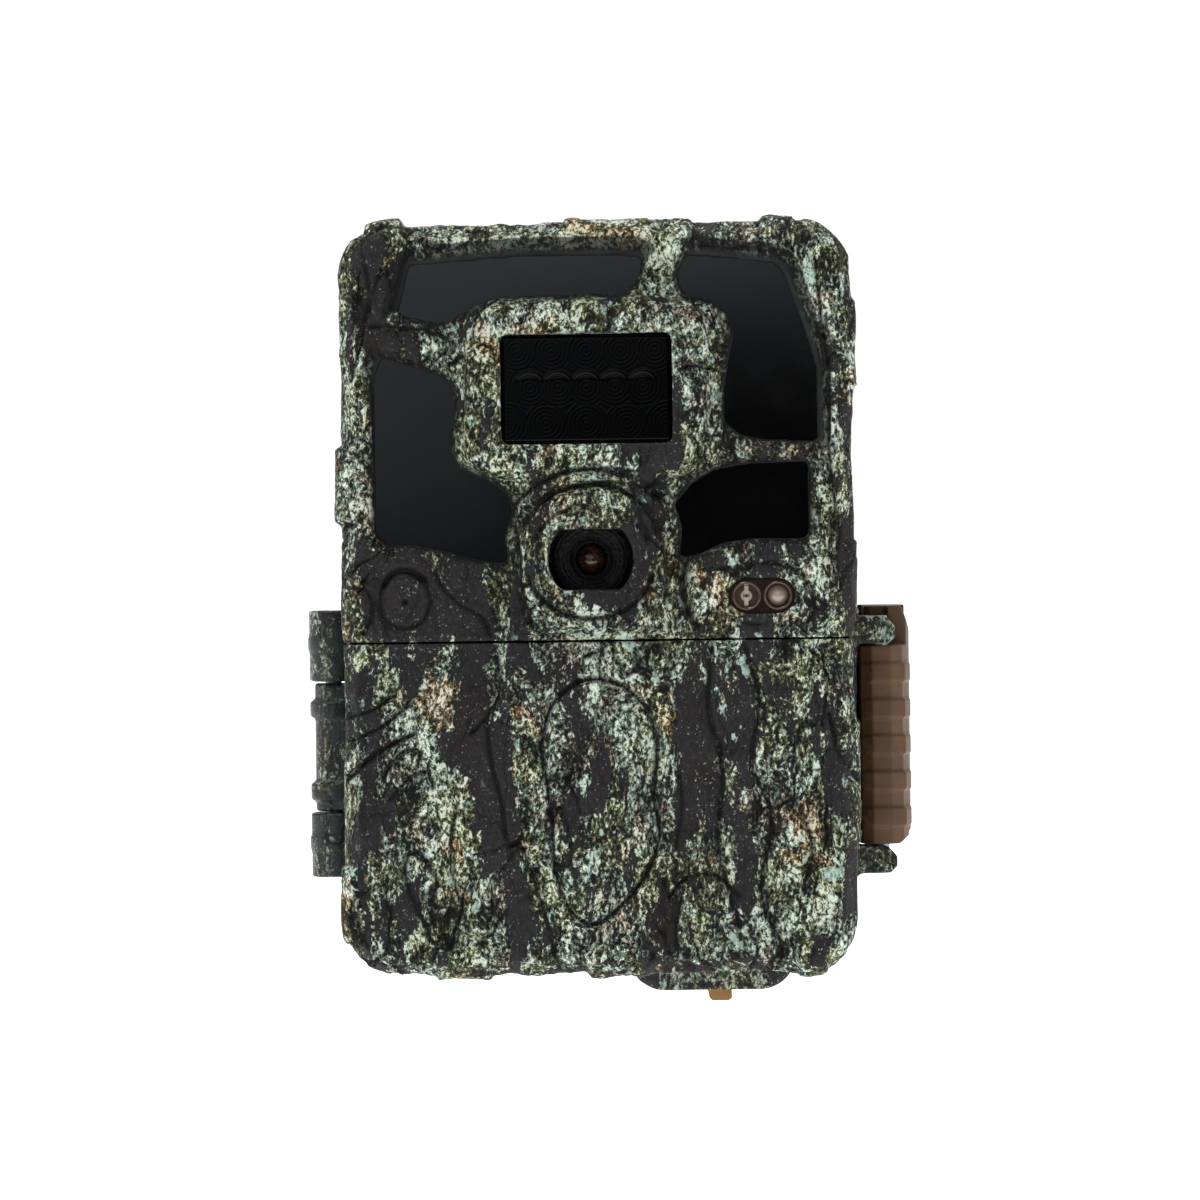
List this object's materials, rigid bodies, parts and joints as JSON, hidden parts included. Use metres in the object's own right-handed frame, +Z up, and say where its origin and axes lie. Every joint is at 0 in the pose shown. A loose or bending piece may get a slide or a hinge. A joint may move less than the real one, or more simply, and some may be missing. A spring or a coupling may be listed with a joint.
{
  "type": "trail camera",
  "caption": "Clamshell camouflage trail camera with side hinge and latch, infrared windows, motion sensor, removable battery tray and tree bracket.",
  "frame": {"origin": "centre of the tripod socket's mouth, on the underside of the rear half", "axes": "+Z up, the camera looks along -Y, +X towards the latch side"},
  "size_m": [0.1101, 0.084, 0.1376],
  "materials": {
    "bark_plastic": "camouflage film over moulded bark relief",
    "bracket_plastic": "moulded, satin",
    "brown_plastic": "moulded, fine grain",
    "black_plastic": "moulded, matt",
    "smoked_window": "infrared-pass acrylic, polished",
    "sensor_window": "thin moulded polyethylene, satin",
    "brown_window": "tinted, polished",
    "clear_window": "clear",
    "lens_glass": "coated",
    "emitter_epoxy": "dark tinted epoxy",
    "milky_epoxy": "diffused epoxy",
    "board": "solder mask",
    "screen": "liquid crystal display",
    "black_rubber": "matt",
    "brown_rubber": "matt",
    "steel": "zinc plated",
    "brass": "turned",
    "cell_wrap": "printed sleeve",
    "ribbon": "flat cable"
  },
  "bodies": {
    "rear_case": {"rear_case": "bark_plastic", "tripod_boss": "bark_plastic", "tripod_insert": "brass", "gasket": "black_rubber", "hinge_pin": "steel", "tree_bracket": "bracket_plastic", "bracket_screws": "steel"},
    "front_case": {"front_housing": "bark_plastic", "front_bezel": "bark_plastic", "lower_cover": "bark_plastic", "ir_window": "smoked_window", "pir_lens": "sensor_window", "pir_chamber": "black_plastic", "pir_sensor": "steel", "pir_board": "board", "lens_window": "clear_window", "lens_hood": "black_plastic", "lens_barrel": "black_plastic", "lens_glass": "lens_glass", "lens_holder": "black_plastic", "image_sensor": "screen", "ir_leds": "emitter_epoxy", "led_board": "board", "board_standoffs": "brass", "led_board_screws": "steel", "main_board": "board", "board_chips": "black_plastic", "tact_switches": "steel", "sd_socket": "steel", "usb_port": "steel", "switch_body": "steel", "display": "screen", "inner_panel": "black_plastic", "panel_screws": "steel", "board_screws": "steel", "sensor_window": "brown_window", "light_sensor": "brown_window", "status_led": "milky_epoxy", "microphone": "steel", "dc_jack": "black_plastic", "cover_anchor": "brown_rubber", "latch_pin": "steel", "bay_contacts": "brass", "ribbon_cable": "ribbon"},
    "latch": {"latch_lever": "brown_plastic"},
    "jack_cover": {"jack_cover": "brown_rubber"},
    "battery_tray": {"battery_tray": "black_plastic", "battery_cells": "cell_wrap", "contact_springs": "steel", "contact_plates": "steel"},
    "up_button": {"up_button": "brown_plastic"},
    "down_button": {"down_button": "brown_plastic"},
    "left_button": {"left_button": "brown_plastic"},
    "right_button": {"right_button": "brown_plastic"},
    "enter_button": {"enter_button": "brown_plastic"},
    "mode_button": {"mode_button": "brown_plastic"},
    "power_knob": {"power_knob": "brown_plastic"}
  },
  "joints": [
    {"name": "door_hinge", "type": "hinge", "parent": "rear_case", "child": "front_case", "pos_m": [-0.0498, -0.012, 0.0385], "axis": [0, 0, -1], "range_deg": [0, 150]},
    {"name": "latch_pivot", "type": "hinge", "parent": "front_case", "child": "latch", "pos_m": [0.0498, -0.03, 0.0385], "axis": [0, 0, -1], "range_deg": [0, 95]},
    {"name": "tray_slide", "type": "slide", "parent": "front_case", "child": "battery_tray", "axis": [0, 1, 0], "range_m": [0, 0.02]},
    {"name": "jack_cover_hinge", "type": "hinge", "parent": "front_case", "child": "jack_cover", "pos_m": [0.012, -0.033, -0.0049], "axis": [0, 1, 0], "range_deg": [0, 90]},
    {"name": "power_slide", "type": "slide", "parent": "front_case", "child": "power_knob", "axis": [1, 0, 0], "range_m": [0, 0.006]},
    {"name": "up_press", "type": "slide", "parent": "front_case", "child": "up_button", "axis": [0, -1, 0], "range_m": [0, 0.0005], "stiffness_N_per_m": 400},
    {"name": "down_press", "type": "slide", "parent": "front_case", "child": "down_button", "axis": [0, -1, 0], "range_m": [0, 0.0005], "stiffness_N_per_m": 400},
    {"name": "left_press", "type": "slide", "parent": "front_case", "child": "left_button", "axis": [0, -1, 0], "range_m": [0, 0.0005], "stiffness_N_per_m": 400},
    {"name": "right_press", "type": "slide", "parent": "front_case", "child": "right_button", "axis": [0, -1, 0], "range_m": [0, 0.0005], "stiffness_N_per_m": 400},
    {"name": "enter_press", "type": "slide", "parent": "front_case", "child": "enter_button", "axis": [0, -1, 0], "range_m": [0, 0.0005], "stiffness_N_per_m": 400},
    {"name": "mode_press", "type": "slide", "parent": "front_case", "child": "mode_button", "axis": [0, -1, 0], "range_m": [0, 0.0005], "stiffness_N_per_m": 400}
  ]
}
